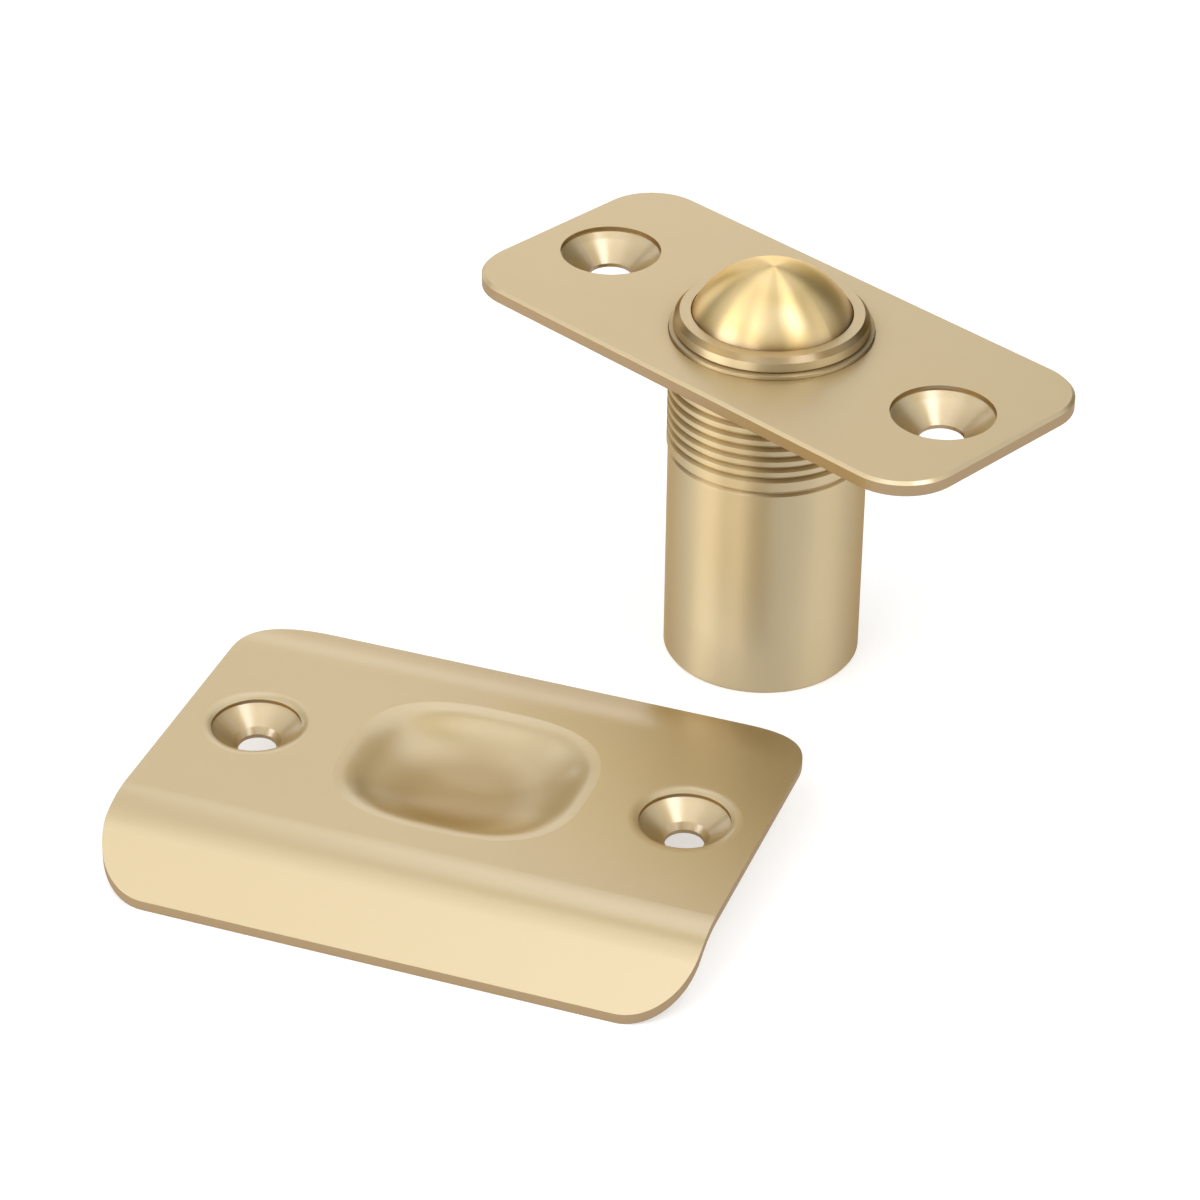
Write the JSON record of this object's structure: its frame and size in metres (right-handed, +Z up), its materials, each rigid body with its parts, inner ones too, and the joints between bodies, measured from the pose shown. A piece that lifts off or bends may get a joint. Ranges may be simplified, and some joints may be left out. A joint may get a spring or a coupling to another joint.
{
  "type": "ball catch",
  "caption": "Sprung ball in a threaded brass barrel, screwed through a round-cornered face plate, with a pressed strike plate whose oblong dimple takes the ball.",
  "frame": {"origin": "on the barrel's axis, at its foot", "axes": "+Z up the barrel and out of the face plate, towards the ball; +X along the face plate's length; the strike plate lies beside the catch on the plane Z = 0"},
  "size_m": [0.0609, 0.0807, 0.0393],
  "materials": {
    "satin_brass": "satin plated",
    "polished_brass": "polished",
    "plain_brass": "turned",
    "spring_steel": "bright drawn"
  },
  "bodies": {
    "plates": {"face_plate": "satin_brass", "strike_plate": "satin_brass"},
    "spring": {"spring": "spring_steel"},
    "barrel": {"barrel": "satin_brass", "end_plug": "plain_brass"},
    "follower": {"follower": "plain_brass"},
    "ball": {"ball": "polished_brass"}
  },
  "joints": [
    {"name": "barrel_rise", "type": "slide", "parent": "plates", "child": "spring", "axis": [0, 0, 1], "range_m": [-0.00167, 0.0078]},
    {"name": "barrel_turn", "type": "hinge", "parent": "spring", "child": "barrel", "pos_m": [0, 0, 0], "axis": [0, 0, 1], "range_deg": [-562, 2625]},
    {"name": "ball_press", "type": "slide", "parent": "spring", "child": "follower", "axis": [0, 0, 1], "range_m": [-0.0044, 0], "stiffness_N_per_m": 4500, "springref_m": 0.0022, "deforming": ["spring"]},
    {"name": "ball_roll", "type": "hinge", "parent": "follower", "child": "ball", "pos_m": [0, 0, 0.03131], "axis": [1, 0, 0], "continuous": true}
  ],
  "couplings": [
    {"joint": "barrel_turn", "follows": "barrel_rise", "rad_per_m": 5872.1}
  ]
}
